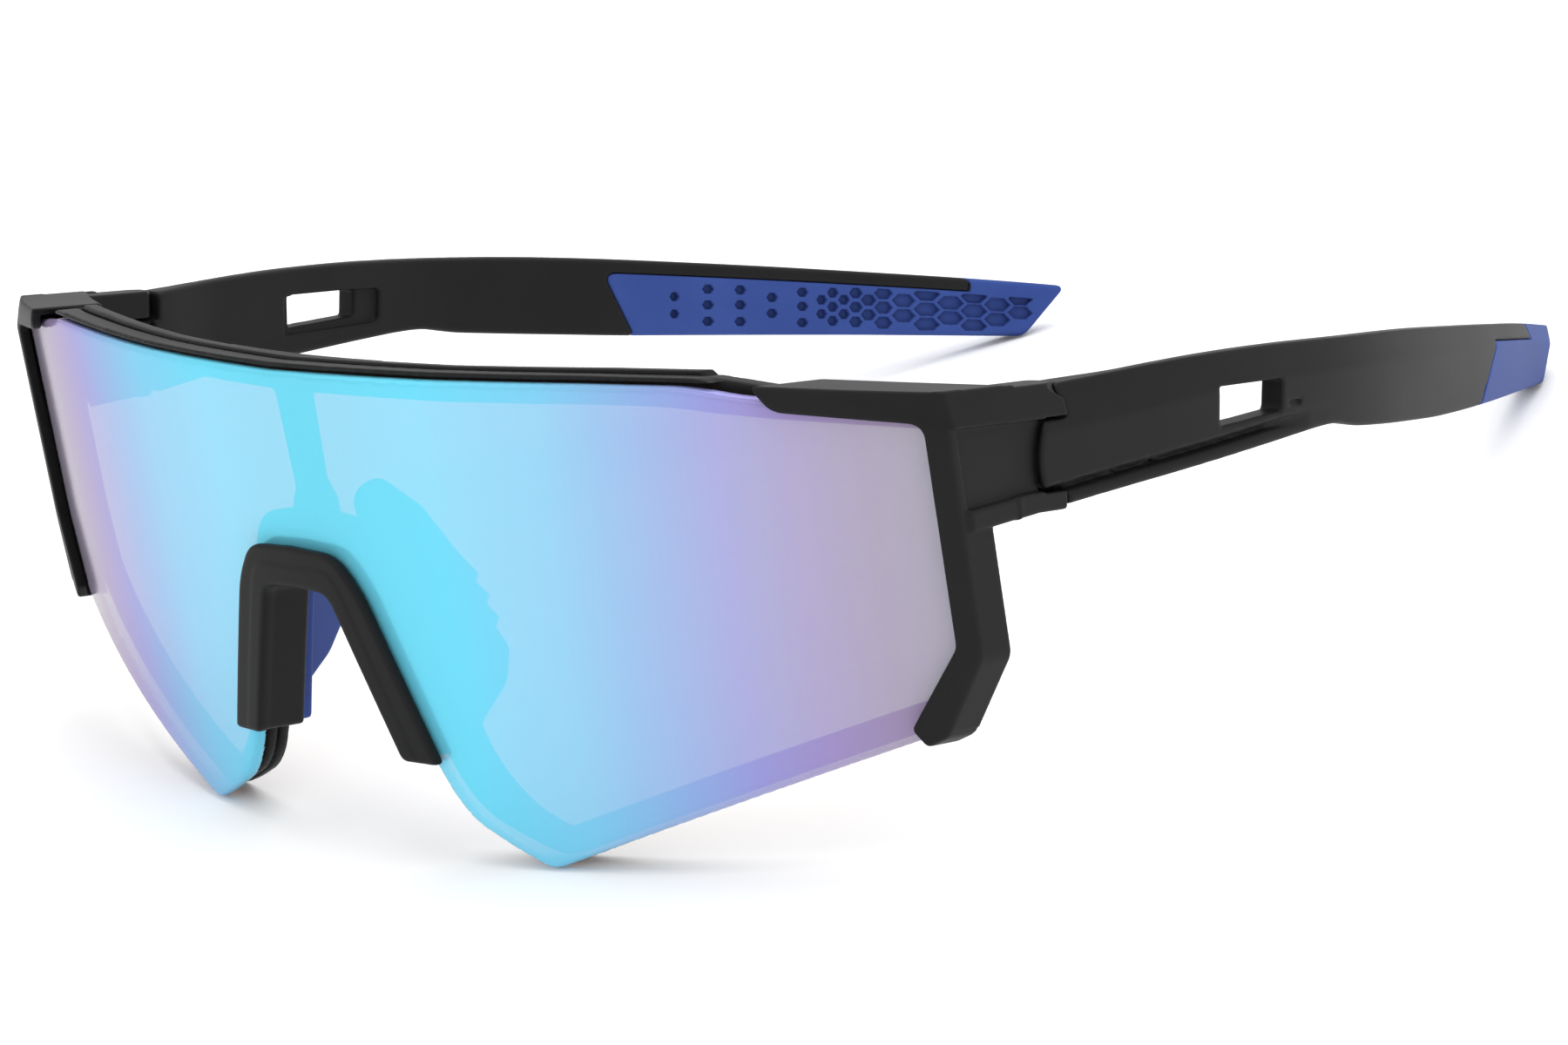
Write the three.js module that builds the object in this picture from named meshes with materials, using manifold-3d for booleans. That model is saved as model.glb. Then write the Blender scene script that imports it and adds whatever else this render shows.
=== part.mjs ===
// Wraparound sport sunglasses: one mirrored shield in a full rim, two folding arms.
// Millimetres, +Z up, +Y towards the wearer. The glasses stand open on a table on the two
// lower points of the lens and the two arm tips; the origin is on the table, at the middle
// of the part. +X is the wearer's left.
//
// Everything is first drawn in the "worn" frame, in which the arms run level along +Y, and
// the whole group is then tipped back by REST_TILT until the arm tips touch the table.
import * as THREE from 'three';
import { mergeVertices } from 'three/addons/utils/BufferGeometryUtils.js';
import Module from 'manifold-3d';

const wasm = await Module();
wasm.setup();

// ---------------------------------------------------------------- driving dimensions
const REST_TILT = 14.6;        // degrees, arms level -> arm tips on the table
const REST_SHIFT = [0, -81.74, 0.36];
const LENS_TILT = 12.8;        // tilt of the lens against the arms
const LENS_RADIUS = 107;       // wrap radius of the lens' outer face on the centre line
const LENS_OPENING = 3.2e-8;   // how the wrap opens out towards the sides, per cubic mm
const LENS_THICK = 1.8;
const LENS_FRONT = -2.95;      // y of the lens' outer face on the centre line
const PLAN_STEP = 4;           // spacing of the facets round the wrap
const GAP = 0.3;               // clearance between neighbouring pieces
const RIM_BACK = 4.8;          // depth of the rim behind the lens' outer face
const HINGE = [72, 24.6];      // x, y of the left hinge pin in the worn frame
const KNUCKLE_R = 2.2;
const LUG_R = 2.4;             // rounded end of the two hinge lugs
const KNUCKLE_Z = [42.2, 49.2];
const LUG_TOP_Z = [49.5, 52.5];
const LUG_LOW_Z = [40, 41.9];
const SCREW_R = 0.65;
const SCREW_HOLE_R = 0.95;
const ARM_THICK = 3.8;
const ARM_END = 160.5;         // y of the arm's tip in the worn frame

// ---------------------------------------------------------------- outlines, right half, x z
// Lens edge from the top centre round the corner to the middle of the nose notch.
const LENS_EDGE = [[0, 51.7], [22, 52.1], [40, 52.7], [50, 52.9, 2], [55, 52.1, 1.5],
  [58.5, 51.9], [72.7, 51.3, 2], [72.7, 26.6, 1], [68, 17.8], [27.2, 0, 1.2],
  [23, 1.9, 1.5], [18.6, 4.2, 1.5], [16.4, 6.8, 1.5], [14.4, 10.6, 2], [8, 28.6, 1.5],
  [6.4, 31, 1.5], [0, 31]];
const RIM_EDGE = [[0, 52.5], [22, 52.9], [40, 53.5], [51, 53.7, 2], [56.4, 52.9], [56.4, 51.8],
  [71.6, 51, 2], [71.6, 26.8, 1], [67, 18.5], [27.3, 1.15, 1.2],
  [23.2, 2.6, 1.5], [18.8, 4.6, 1.5], [16.4, 6.9, 1.5], [14.4, 10.6, 2], [8, 28.6, 1.5],
  [6.4, 31, 1.5], [0, 31]];
// One eye window of the rim, right half.
const EYE_WINDOW = [[1.7, 49.3, 0.8], [22, 49.6], [40, 50.3], [46, 50.4, 2], [51.5, 49.9, 2],
  [56, 49.6], [70.7, 49, 1.5], [70.7, 27.4, 1], [66.7, 21.2], [26.8, 3.9, 1], [22.6, 6, 2],
  [19.4, 9.5, 2], [17.2, 14], [11.8, 29.3, 3], [8.4, 35.5, 3], [2, 36.2, 1], [1.3, 38]];
// Nose bridge cover: outer and inner edge of its front, from the top centre down one leg.
const BRIDGE_OUTER = [[0, 32.7], [6.6, 32.4, 2], [9.6, 28.4, 2], [16.4, 10.4, 0.8]];
const BRIDGE_INNER = [[11.7, 10.4, 0.8], [5, 28, 1.6], [0, 28.3]];

// Arm: y, z of its top and bottom edge and y, x of its outer face.
const ARM_TOP = [[20, 52.2], [32, 52.9], [45, 53.8], [55, 54.1], [66, 54.1], [85, 53.5],
  [98, 52.7], [121, 50.8], [145.5, 48.5], [160.5, 46.9], [172, 45.2]];
const ARM_BOTTOM = [[20, 39.5], [27, 40.4], [36, 41.4], [49.5, 42.8], [60, 43.9], [68, 44.7],
  [72.5, 44.9], [75.5, 44.1], [85, 43.4], [100.5, 42.4], [132.5, 41.1], [155, 40.05], [172, 39.35]];
const ARM_FACE = [[20, 74.5], [30, 75], [48, 75.8], [60, 75.6], [72, 75], [83, 72.9],
  [93.5, 69.6], [104, 66.2], [114.5, 62.2], [125, 57.9], [136, 53], [146.5, 48],
  [159.5, 42.4], [172, 37]];
const WINDOW_SLOT = [50.3, 60.8, 46.3, 50.6];   // y0, y1, z0, z1 of the vent in the arm

// ---------------------------------------------------------------- small geometry helpers
const rad = (degrees) => THREE.MathUtils.degToRad(degrees);

function at(table, y) {
  const i = Math.max(1, table.findIndex(([key]) => key >= y));
  const [[y0, v0], [y1, v1]] = [table[i - 1], table[i]];
  return v0 + ((v1 - v0) * (y - y0)) / (y1 - y0);
}

// Smoothed look-up, so that the arm's long edges curve instead of kinking.
function smooth(table, y, reach = 4) {
  const low = table[0][0];
  const high = table[table.length - 1][0];
  const clamp = (v) => THREE.MathUtils.clamp(v, low, high);
  return (at(table, clamp(y - reach)) + 2 * at(table, y) + at(table, clamp(y + reach))) / 4;
}

function toSolid(geometry) {
  const g = geometry.clone();
  for (const name of Object.keys(g.attributes)) if (name !== 'position') g.deleteAttribute(name);
  const merged = mergeVertices(g, 1e-5);
  const mesh = new wasm.Mesh({
    numProp: 3,
    vertProperties: Float32Array.from(merged.attributes.position.array),
    triVerts: Uint32Array.from(merged.index.array),
  });
  return new wasm.Manifold(mesh);
}

function toGeometry(solid) {
  const mesh = solid.getMesh();
  const g = new THREE.BufferGeometry();
  g.setAttribute('position', new THREE.BufferAttribute(mesh.vertProperties, 3));
  g.setIndex(new THREE.BufferAttribute(mesh.triVerts, 1));
  return g;
}

// Turns every triangle of an index list round.
function flip(index) {
  for (let i = 0; i < index.length; i += 3) [index[i], index[i + 1]] = [index[i + 1], index[i]];
}

function mirrored(geometry) {
  const g = geometry.clone();
  g.scale(-1, 1, 1);
  flip(g.index.array);
  return g;
}

const join = (...solids) => solids.reduce((a, b) => a.add(b));
const cut = (solid, ...tools) => tools.reduce((a, b) => a.subtract(b), solid);

// Corner list [a, b, radius?] -> plain points, with each radiused corner rounded off.
function rounded(corners) {
  return corners.flatMap(([a, b, radius], i) => {
    const here = new THREE.Vector2(a, b);
    if (!radius) return [here];
    const before = new THREE.Vector2(...corners[(i + corners.length - 1) % corners.length]);
    const after = new THREE.Vector2(...corners[(i + 1) % corners.length]);
    const start = here.clone().add(before.sub(here).setLength(radius));
    const end = here.clone().add(after.sub(here).setLength(radius));
    return new THREE.QuadraticBezierCurve(start, here, end).getPoints(4);
  });
}

// Right half from the top centre to the notch centre -> whole closed outline.
function bothHalves(half) {
  const right = rounded(half);
  const left = right.filter((p) => p.x > 1e-6).map((p) => new THREE.Vector2(-p.x, p.y));
  return [...right, ...left.reverse()];
}

function extruded(points, depth) {
  return new THREE.ExtrudeGeometry(new THREE.Shape(points), { depth, bevelEnabled: false });
}

// Prisms along each axis; the points are (x z), (y z) and (x y).
function prismY(points, y0 = -30, y1 = 60) {
  const g = extruded(points, y1 - y0);
  return toSolid(g.rotateX(Math.PI / 2).translate(0, y1, 0));
}

function prismX(points, x0, x1) {
  const turn = new THREE.Matrix4().makeBasis(
    new THREE.Vector3(0, 1, 0), new THREE.Vector3(0, 0, 1), new THREE.Vector3(1, 0, 0));
  return toSolid(extruded(points, x1 - x0).applyMatrix4(turn).translate(x0, 0, 0));
}

function prismZ(points, z0, z1) {
  return toSolid(extruded(points, z1 - z0).translate(0, 0, z0));
}

function box(x0, x1, y0, y1, z0, z1) {
  const g = new THREE.BoxGeometry(x1 - x0, y1 - y0, z1 - z0);
  return toSolid(g.translate((x0 + x1) / 2, (y0 + y1) / 2, (z0 + z1) / 2));
}

function pinZ(x, y, radius, z0, z1, sides = 24) {
  const g = new THREE.CylinderGeometry(radius, radius, z1 - z0, sides);
  return toSolid(g.rotateX(Math.PI / 2).translate(x, y, (z0 + z1) / 2));
}

// Plan curve of the lens' outer face, moved forward by `offset`.
function lensPlan(offset) {
  const steps = Math.round(168 / PLAN_STEP);
  return Array.from({ length: steps + 1 }, (_, i) => {
    const x = -84 + i * PLAN_STEP;
    const y = LENS_FRONT + x ** 2 / (2 * LENS_RADIUS) - LENS_OPENING * x ** 4;
    const slope = x / LENS_RADIUS - 4 * LENS_OPENING * x ** 3;
    const forward = new THREE.Vector2(slope, -1).normalize();
    return new THREE.Vector2(x, y).addScaledVector(forward, offset);
  });
}

// Sheet that follows the lens: from `inner` to `outer` mm off the lens' outer face.
function shell(inner, outer) {
  const outline = [...lensPlan(outer), ...lensPlan(inner).reverse()];
  return toSolid(extruded(outline, 72).translate(0, 0, -8).rotateX(rad(LENS_TILT)));
}

// ---------------------------------------------------------------- lens, rim and brow
function lensShield() {
  return shell(-LENS_THICK, 0).intersect(prismY(bothHalves(LENS_EDGE)));
}

function eyeWindows() {
  const right = rounded(EYE_WINDOW);
  const left = right.map((p) => new THREE.Vector2(-p.x, p.y)).reverse();
  return [prismY(right), prismY(left)];
}

function rim() {
  const front = -LENS_THICK - GAP;
  const sheet = shell(-RIM_BACK, front).intersect(prismY(bothHalves(RIM_EDGE)));
  const lip = shell(-RIM_BACK, -0.3).intersect(prismY(lipBand()));
  const seat = shell(-RIM_BACK - 3, -3.1).intersect(prismY(browBand(GAP)));
  return cut(join(sheet, lip), ...eyeWindows(), seat, edgeGroove());
}

// Thin lip of the rim that stands forward over the lens' top edge.
function lipBand() {
  const top = RIM_EDGE.slice(0, 3);
  const low = LENS_EDGE.slice(0, 4).map(([x, z]) => [x, z + GAP]).reverse();
  return bothHalves([...top, [51, 53.7, 0.5], [52.6, 53.3], [51.4, 53.15], ...low]);
}

// Band that the brow bar fills, grown by `extra`; its ends are slanted.
function browBand(extra) {
  const up = 1.15 + extra;
  const down = 2.2 + extra;
  return bothHalves([[0, 51.7 + up], [22, 52.1 + up], [40, 52.8 + up], [49.4 + extra, 53 + up],
    [53 + extra, 52.4 - down], [40, 52.8 - down], [22, 52.1 - down], [0, 51.7 - down]]);
}

function browBar() {
  const bar = shell(-5.4, -3.1 - GAP).intersect(prismY(browBand(0)));
  const pad = box(-12, 12, -20, 20, 49.8, 52.8);
  return join(bar, shell(-6.6, -5.2).intersect(pad));
}

// Shallow groove that parts the rim's edge into a front and a rear layer, over the notch
// and the lower edges.
function edgeGroove() {
  const edge = [[0, 80], [90, 80], [90, 24], [66.7, 18.5], [27.3, 1.9, 1.2], [23.4, 3.3, 1.5],
    [19.2, 5.2, 1.5], [17, 7.3, 1.5], [15, 10.9, 2], [8.6, 28.8, 1.5], [6.9, 31.6, 1.5],
    [0, 31.6]];
  const whole = prismY(rounded([[-80, -9], [80, -9], [80, 60], [-80, 60]]));
  return shell(-3.6, -3.15).intersect(cut(whole, prismY(bothHalves(edge))));
}

// ---------------------------------------------------------------- end pieces and hinge
// Corner moulding of the left side: the clip over the lens' edge, the side wall behind it
// and the block with the two hinge lugs.
const CLIP_OUTER = [[57.2, 53.3, 0.8], [74.1, 53.1, 1.2], [74.1, 26.2, 0.8], [70.2, 17.8, 0.6],
  [68.3, 16.7, 0.5]];
const CLIP_INNER = [[67.1, 18.5, 0.6], [72, 27.2, 0.6], [72, 49.9, 1.4], [59, 50.7, 1]];
const SIDE_WALL_DEPTH = 2.3;   // of the clip and side wall behind the lens' outer face

// Room for the edge of the lens and the rim inside the corner moulding.
function lensPocket() {
  const grown = [[40, 54.9], [56.7, 54.9], [56.7, 52.5], [73.1, 51.7, 2], [73.1, 26.5, 1],
    [68.1, 17.1], [40, 4.6]];
  return shell(-RIM_BACK - 2, GAP).intersect(prismY(rounded(grown)));
}

function endPiece() {
  const deep = shell(-RIM_BACK - 2.7, 1.5).intersect(
    prismY(rounded([...CLIP_OUTER, ...CLIP_INNER])));
  const lowRear = shell(-30, -SIDE_WALL_DEPTH).intersect(box(50, 90, -20, 60, 0, 40.2));
  const wallShape = [[72.6, 53.1], [74.1, 53.1, 1], [74.1, 26.2, 0.8], [70.5, 18.6],
    [69.5, 19.2], [72.6, 26.7]];
  const wall = prismY(rounded(wallShape), 0, 40).intersect(shell(-SIDE_WALL_DEPTH, 1.5));
  const upperBand = box(72.6, 74.7, 0, 20, 49.4, 52.5).intersect(shell(-20, 1.3));
  const lowerBand = box(72.6, 74.5, 0, 20, LUG_LOW_Z[0], LUG_LOW_Z[1]).intersect(shell(-20, 0.9));
  const clip = cut(join(cut(deep, lowRear), wall, upperBand, lowerBand), lensPocket());
  return cut(join(clip, hingeBlock()), ...hingeCuts());
}

function hingeBlock() {
  const [hx, hy] = HINGE;
  const plan = [[69.8, 10], [73.9, 8], [74.7, 14], [74.7, hy + LUG_R], [hx, hy + LUG_R],
    ...arcPoints(hx, hy, LUG_R, 90, 156), [69.8, 20]];
  const solid = prismZ(plan.map(([x, y]) => new THREE.Vector2(x, y)), LUG_LOW_Z[0], LUG_TOP_Z[1]);
  return cut(solid, shell(-RIM_BACK - GAP, 60));
}

function arcPoints(cx, cy, radius, from, to, steps = 5) {
  return Array.from({ length: steps + 1 }, (_, i) => {
    const angle = rad(from + ((to - from) * i) / steps);
    return [cx + radius * Math.cos(angle), cy + radius * Math.sin(angle)];
  });
}

function hingeCuts() {
  const [hx, hy] = HINGE;
  const [low, high] = [KNUCKLE_Z[0] - GAP, KNUCKLE_Z[1] + GAP];
  const socket = pinZ(hx, hy, KNUCKLE_R + GAP, low, high, 32);
  const behind = box(60, 90, hy - 1.1, hy + 9, low, high);
  const inside = box(60, hx, hy - KNUCKLE_R - GAP, hy + 9, low, high);
  const panel = box(74.15, 90, 10.8, hy + 9, 42.1, 49.4);
  const shaft = pinZ(hx, hy, SCREW_HOLE_R, 30, 51.8);
  const headSeat = pinZ(hx, hy, 1.65, 30, LUG_LOW_Z[0] + 1.1);
  const nutPocket = pinZ(hx, hy, 1.85, LUG_TOP_Z[0] - 1, LUG_TOP_Z[0] + 1.9, 6);
  return [socket, behind, inside, panel, shaft, headSeat, nutPocket];
}

function hingeScrew() {
  const base = LUG_LOW_Z[0] + 0.1;
  const profile = [[0, 0], [1.1, 0], [1.35, 0.25], [1.35, 0.65], [SCREW_R, 0.8],
    [SCREW_R, 11.2], [0, 11.4]].map(([r, z]) => new THREE.Vector2(r, z));
  const body = toSolid(new THREE.LatheGeometry(profile, 20).rotateX(Math.PI / 2)
    .translate(...HINGE, base));
  const [hx, hy] = HINGE;
  const slot = box(hx - 2, hx + 2, hy - 0.18, hy + 0.18, base - 1, base + 0.4);
  return cut(body, slot);
}

function hingeNut() {
  const z0 = LUG_TOP_Z[0] + 0.05;
  return cut(pinZ(...HINGE, 1.5, z0, z0 + 1.5, 6), pinZ(...HINGE, SCREW_HOLE_R, z0 - 1, z0 + 3));
}

// ---------------------------------------------------------------- nose bridge and pads
function bridgeCover() {
  const face = shell(GAP, 1.6).intersect(prismY(bothHalves([...BRIDGE_OUTER, ...BRIDGE_INNER])));
  const wallOuter = [[0, 30.5], [5.9, 30.5, 1.4], [7.2, 28.3], [13.7, 10.9]];
  const wall = shell(-RIM_BACK, 1.6).intersect(
    prismY(bothHalves([...wallOuter, ...BRIDGE_INNER])));
  return join(face, wall);
}

// Left pad: a wing with a notched rear edge on a sole that sits behind the rim's leg. Its
// outline is given as depth behind the rim and height along the leaning leg.
function nosePad() {
  const wing = [[-0.6, -15.4, 0.8], [-0.6, 10.5, 1.2], [1.5, 14, 1.2], [4.4, 14.6, 1.4], [7.6, 10],
    [9.4, 4], [10.6, 1.2], [9.9, 0.4], [10.8, -1.4], [10, -2.2], [10.8, -4], [9.9, -4.8],
    [10.4, -7.4, 0.6], [8.4, -10.8, 0.8], [2, -15, 1]];
  const flare = rad(12);
  const lean = Math.atan(0.393);
  const back = new THREE.Vector3(Math.sin(flare), Math.cos(flare), 0);
  const up = new THREE.Vector3(-Math.sin(lean), 0, Math.cos(lean));
  const side = new THREE.Vector3().crossVectors(back, up).normalize();
  const place = new THREE.Matrix4().makeBasis(back, up, side).setPosition(9, 1.4, 26);
  const plate = extruded(rounded(wing), 2).translate(0, 0, -1).applyMatrix4(place);
  const root = prismY(rounded([[6.4, 30, 0.6], [8.9, 30, 0.6], [16, 10.6, 0.6],
    [13.5, 10.6, 0.6]]), -8, 30);
  const sole = shell(-RIM_BACK - 2.4, -RIM_BACK - GAP).intersect(root);
  const whole = join(toSolid(plate.rotateX(rad(LENS_TILT))), sole);
  return cut(whole, shell(-RIM_BACK - GAP, 60));
}

// ---------------------------------------------------------------- arms
// Bar that follows the arm: `near` and `far` are depths in from the outer face, `low` and
// `high` are heights as functions of y.
function armBar(near, far, low, high, y0, y1, steps = 26) {
  const square = [[0, 0], [1, 0], [1, 1], [0, 1]].map(([a, b]) => new THREE.Vector2(a, b));
  const g = new THREE.ExtrudeGeometry(new THREE.Shape(square),
    { depth: y1 - y0, steps, bevelEnabled: false });
  const p = g.attributes.position;
  for (let i = 0; i < p.count; i++) {
    const y = y0 + p.getZ(i);
    const x = smooth(ARM_FACE, y) - THREE.MathUtils.lerp(far(y), near(y), p.getX(i));
    p.setXYZ(i, x, y, THREE.MathUtils.lerp(low(y), high(y), p.getY(i)));
  }
  const index = Array.from({ length: p.count }, (_, i) => i);
  flip(index);
  g.setIndex(index);
  return toSolid(g);
}

const armTop = (y) => smooth(ARM_TOP, y);
const armBottom = (y) => smooth(ARM_BOTTOM, y, 1.5);
const steady = (value) => () => value;
// The arm is thicker at the hinge and slims down over the first 14 mm.
const armThick = (y) => ARM_THICK + 1.6 * THREE.MathUtils.smoothstep(38 - y, 0, 12);

function armBlank() {
  const y1 = ARM_END + 6;
  const body = armBar(steady(0), armThick, armBottom, (y) => armTop(y) - 2.4, 20.5, y1);
  const cap = armBar(steady(1.1), armThick, (y) => armTop(y) - 2.5, armTop, 20.5, y1);
  const chamfer = armBar(steady(0.5), armThick, (y) => armTop(y) - 2.5, (y) => armTop(y) - 1.2,
    20.5, y1);
  const tail = prismX(rounded([[10, 60], [ARM_END, 60], [ARM_END, 46.5, 0.8],
    [ARM_END - 5.6, 40, 1], [ARM_END - 8, 30], [10, 30]]), 20, 90);
  return join(body, cap, chamfer).intersect(tail);
}

// Region of the blank that is the soft grip, grown by `extra` at its border with the arm.
function gripRegion(extra) {
  const spine = (y) => armTop(y) - 1.8 + extra;
  const deep = (y) => armThick(y) + 2;
  const skin = armBar((y) => ARM_THICK - 1.5 - extra, deep, steady(30), spine, 90, 168, 22);
  const skinEnd = prismX(rounded([[98.4 - extra, 51, 0.5], [103.4 - extra, 41], [103.4 - extra, 30],
    [175, 30], [175, 60], [98.4 - extra, 60]]), 20, 90);
  const sleeve = armBar(steady(-3), deep, steady(30), spine, 108, 168, 18);
  const sleeveEnd = prismX(rounded([[115 - extra, 30], [115 - extra, 41], [118.4 - extra, 41.8],
    [127.4 - extra, 50], [132 - extra, 60], [175, 60], [175, 30]]), 20, 90);
  const tip = box(20, 90, 145 - extra, 175, 30, 60);
  return join(skin.intersect(skinEnd), sleeve.intersect(sleeveEnd), tip);
}

// Tongue of the arm that reaches into the grip's tip.
function armTongue(extra) {
  const near = steady(1.2 - extra);
  const far = steady(ARM_THICK - 1.8 + extra);
  const low = (y) => armBottom(y) + 2.6 - extra;
  const high = (y) => armTop(y) - 1.2 + extra;
  return armBar(near, far, low, high, 110, 141 + extra, 12);
}

function armCuts() {
  const [hx, hy] = HINGE;
  const [y0, y1, z0, z1] = WINDOW_SLOT;
  const slot = box(60, 90, y0, y1, z0, z1);
  const recess = armBar(steady(ARM_THICK - 1.1), steady(9), steady(z0 - 0.9), steady(z1 + 0.05),
    y0 - 1.2, y1 + 3.4, 4);
  const groove = armBar(steady(-2), steady(0.5), (y) => armBottom(y) + 2,
    (y) => armBottom(y) + 2.6, 20, 63, 8);
  const lugEnd = hy + LUG_R + GAP;
  const front = join(box(60, 90, 10, lugEnd, KNUCKLE_Z[1], 60),
    box(60, 90, 10, lugEnd, 30, KNUCKLE_Z[0]),
    box(60, hx + 2, 10, hy, 30, 60), box(60, 90, 10, hy - 0.8, 30, 60),
    box(60, hx - 1.9, 10, hy + 1.2, 30, 60));
  return [front, slot, recess, groove];
}

function arm() {
  const knuckle = pinZ(...HINGE, KNUCKLE_R, ...KNUCKLE_Z, 28);
  const blank = cut(armBlank(), ...armCuts());
  const hard = cut(join(blank, knuckle), pinZ(...HINGE, SCREW_HOLE_R, 30, 60));
  return join(cut(hard, gripRegion(GAP)), armTongue(0).intersect(armBlank()));
}

function grip() {
  return cut(armBlank().intersect(gripRegion(0)), armTongue(GAP), gripPattern());
}

// Small hexagonal dimples in the grip's inner face, growing into larger cells to the rear.
function gripPattern() {
  const rows = [[107.4, 0.45, [-2.4, 0, 2.4]], [110, 0.5, [-2.6, -0.2, 2.2]],
    [114, 0.55, [-1.4, 1.2]], [117.4, 0.6, [-2.6, 0, 2.4]], [120.6, 0.75, [-1.4, 1.2]],
    [123.6, 0.85, [-2.6, 0, 2.4]], [126.8, 1, [-1.3, 1.3]], [130, 1.1, [-2.4, 0.1, 2.4]],
    [133.4, 1.2, [-1.4, 1.4]], [136.8, 1.3, [-2.1, 1]]];
  const cells = rows.flatMap(([y, r, offsets]) => offsets.map((dz) => {
    const face = smooth(ARM_FACE, y) - ARM_THICK;
    const mid = (armTop(y) - 1.8 + armBottom(y)) / 2;
    const g = new THREE.CylinderGeometry(r, r, 1, 6).rotateZ(Math.PI / 2);
    return toSolid(g.rotateZ(0.42).translate(face, y, mid + dz));
  }));
  return join(...cells);
}

// ---------------------------------------------------------------- assembly
const BLACK = { color: 0x2b2b2d, roughness: 0.42, metalness: 0 };
const BLUE = { color: 0x2c448e, roughness: 0.6, metalness: 0 };
const MIRROR = { color: 0x8fdcf7, roughness: 0.06, metalness: 0.6 };
const STEEL = { color: 0x9a9da1, roughness: 0.35, metalness: 1 };

const glasses = new THREE.Group();
const worn = new THREE.Group();
worn.rotation.x = rad(-REST_TILT);
worn.position.set(...REST_SHIFT);
glasses.add(worn);

function place(name, geometry, look) {
  const mesh = new THREE.Mesh(geometry, new THREE.MeshStandardMaterial(look));
  mesh.name = name;
  worn.add(mesh);
}

function placePair(name, solid, look) {
  const geometry = toGeometry(solid);
  place(`${name}_left`, geometry, look);
  place(`${name}_right`, mirrored(geometry), look);
}

place('lens_shield', toGeometry(lensShield()), MIRROR);
place('front_frame', toGeometry(rim()), BLACK);
place('brow_bar', toGeometry(browBar()), BLACK);
place('nose_bridge', toGeometry(bridgeCover()), BLACK);
placePair('endpiece', endPiece(), BLACK);
placePair('nose_pad', nosePad(), BLUE);
placePair('temple_arm', arm(), BLACK);
placePair('temple_grip', grip(), BLUE);
placePair('hinge_screw', hingeScrew(), STEEL);
placePair('hinge_nut', hingeNut(), STEEL);

export default glasses;
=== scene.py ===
"""Wraparound sport sunglasses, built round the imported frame.

Every piece is a smooth moulded form, described by distance fields in millimetres in the
"worn" frame (arms level along +Y, x towards the wearer's left) and meshed here. The worn
frame is then tipped back until lens and arm tips stand on the table, as in the CAD.
"""

import math

import bpy
import numpy as np
from mathutils import Matrix, Vector


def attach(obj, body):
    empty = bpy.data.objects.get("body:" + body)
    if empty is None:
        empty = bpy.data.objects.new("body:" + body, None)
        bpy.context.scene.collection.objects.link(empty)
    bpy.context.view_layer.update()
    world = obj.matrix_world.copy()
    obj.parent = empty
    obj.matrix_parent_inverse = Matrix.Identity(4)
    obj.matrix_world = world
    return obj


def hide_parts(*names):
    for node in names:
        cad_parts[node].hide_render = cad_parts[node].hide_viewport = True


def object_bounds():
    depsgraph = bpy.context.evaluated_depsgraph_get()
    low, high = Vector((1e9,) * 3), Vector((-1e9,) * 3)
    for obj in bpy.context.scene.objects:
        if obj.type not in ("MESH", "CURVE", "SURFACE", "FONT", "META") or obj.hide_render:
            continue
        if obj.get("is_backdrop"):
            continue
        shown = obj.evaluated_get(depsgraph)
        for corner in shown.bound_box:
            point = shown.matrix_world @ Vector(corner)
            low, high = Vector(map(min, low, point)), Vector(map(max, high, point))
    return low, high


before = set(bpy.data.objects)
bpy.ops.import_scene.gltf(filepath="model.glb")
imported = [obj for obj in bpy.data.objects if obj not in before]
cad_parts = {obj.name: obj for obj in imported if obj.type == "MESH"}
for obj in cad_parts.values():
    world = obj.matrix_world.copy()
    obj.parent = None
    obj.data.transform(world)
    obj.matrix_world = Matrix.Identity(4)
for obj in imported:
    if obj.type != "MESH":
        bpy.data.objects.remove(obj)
cad_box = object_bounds()

# ------------------------------------------------------------------ dimensions, mm
REST_TILT = math.radians(14.6)
REST_SHIFT = (0.0, -81.74, 0.36)
LENS_TILT = math.radians(12.8)
LENS_RADIUS = 107.0
LENS_OPENING = 3.2e-8        # flattens the curve of the lens towards its sides
LENS_THICK = 1.8
LENS_FRONT = -2.95           # y of the lens' outer face at the middle, measured upright
LENS_COAT_CENTRE = 0.005     # metres; the coat's colours, painted by place and partly a painted reflection, run out from here
GAP = 0.3               # between separate pieces
SEAM = 0.06             # fine line between a hard arm and its moulded-on grip
RIM_BACK = 4.8          # rear face of the rim behind the lens' outer face
HINGE = (72.0, 24.6)
HINGE_MID_Z = 45.7
KNUCKLE_R = 1.68
PIN_ROOM = 0.12         # round the knuckle in its socket, and at the upper lug's end
SKIN_BACK = 0.8         # from the pin forward to the arm's outer front edge
SKIN_ROOM = 0.1         # fine seam between that edge and the end piece
LUG_R = 2.4
KNUCKLE_Z = (42.2, 49.2)
LUG_TOP_Z = (49.5, 52.5)
LUG_LOW_Z = (40.0, 41.9)
SCREW_R = 0.65
SCREW_HOLE_R = 0.95
BRIDGE_RISE = 1.6       # of the bridge cover ahead of the lens' outer face
CLIP_RISE = 1.5         # of the clip ahead of the lens' outer face
SIDE_WALL_DEPTH = 2.3   # of the clip and side wall behind the lens' outer face
CORNER_DEPTH = RIM_BACK + 2.7   # of the clip's upper corner behind that face
CORNER_Z = 40.2         # the clip is deep above this height and shallow below
PANEL_X = 73.75         # floor of the sunk panel between the lugs
PANEL_EDGE = 0.35       # how far ahead of the lens' face the panel begins
SPINE_DEPTH = 1.8       # of the hard strip along the top of the grip
GRIP_SKIN = 1.5         # thickness of the soft grip on the inner face
CELL_DEPTH = 0.8        # of the grip's recessed cells and the sunk ring round the vent
ARM_SLANT = 0.93        # square distance per mm of x, because the arm runs inwards
ARM_THICK = 3.8
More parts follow.
